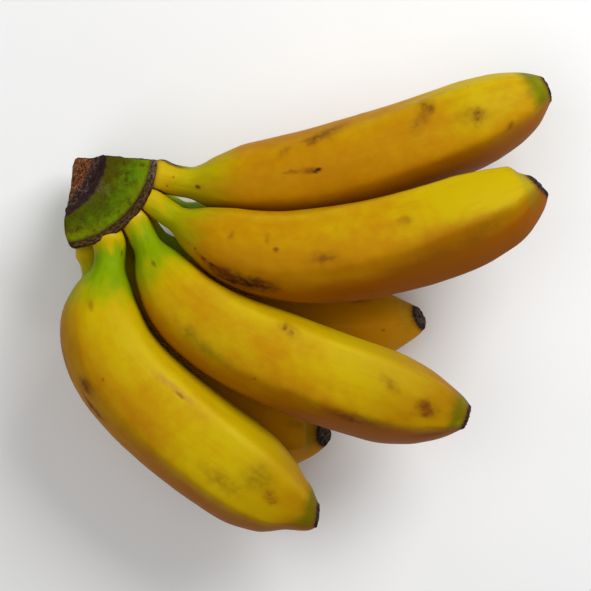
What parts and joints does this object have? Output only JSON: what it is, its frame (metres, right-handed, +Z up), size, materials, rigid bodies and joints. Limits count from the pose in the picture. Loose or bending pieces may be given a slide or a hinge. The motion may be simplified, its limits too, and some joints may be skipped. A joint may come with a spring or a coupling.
{
  "type": "hand of lady finger bananas",
  "caption": "Hand of short plump lady finger bananas in two rows on one cut crown, lying on its lower row, with thin green necks, soft ridges and blunt dark tips.",
  "frame": {"origin": "centre of the hand's bounding box in plan, on the surface that it lies on", "axes": "+Z up from that surface, +X the way most of the tips point away from the crown, +Y towards the crown's side of the fan"},
  "size_m": [0.1556, 0.1449, 0.0626],
  "materials": {
    "peel": "satin ripe yellow peel, green at the neck and near the tip, dark brown at the tip's end, with brown bruises",
    "stem": "dull olive green skin with a brown fibrous cut and a rough dark brown scar along its edge"
  },
  "bodies": {
    "root": {"crown": "stem", "finger_upper_1": "peel", "finger_upper_2": "peel", "finger_upper_3": "peel", "finger_upper_4": "peel", "finger_lower_1": "peel", "finger_lower_2": "peel", "finger_lower_3": "peel", "finger_lower_4": "peel"}
  },
  "joints": []
}
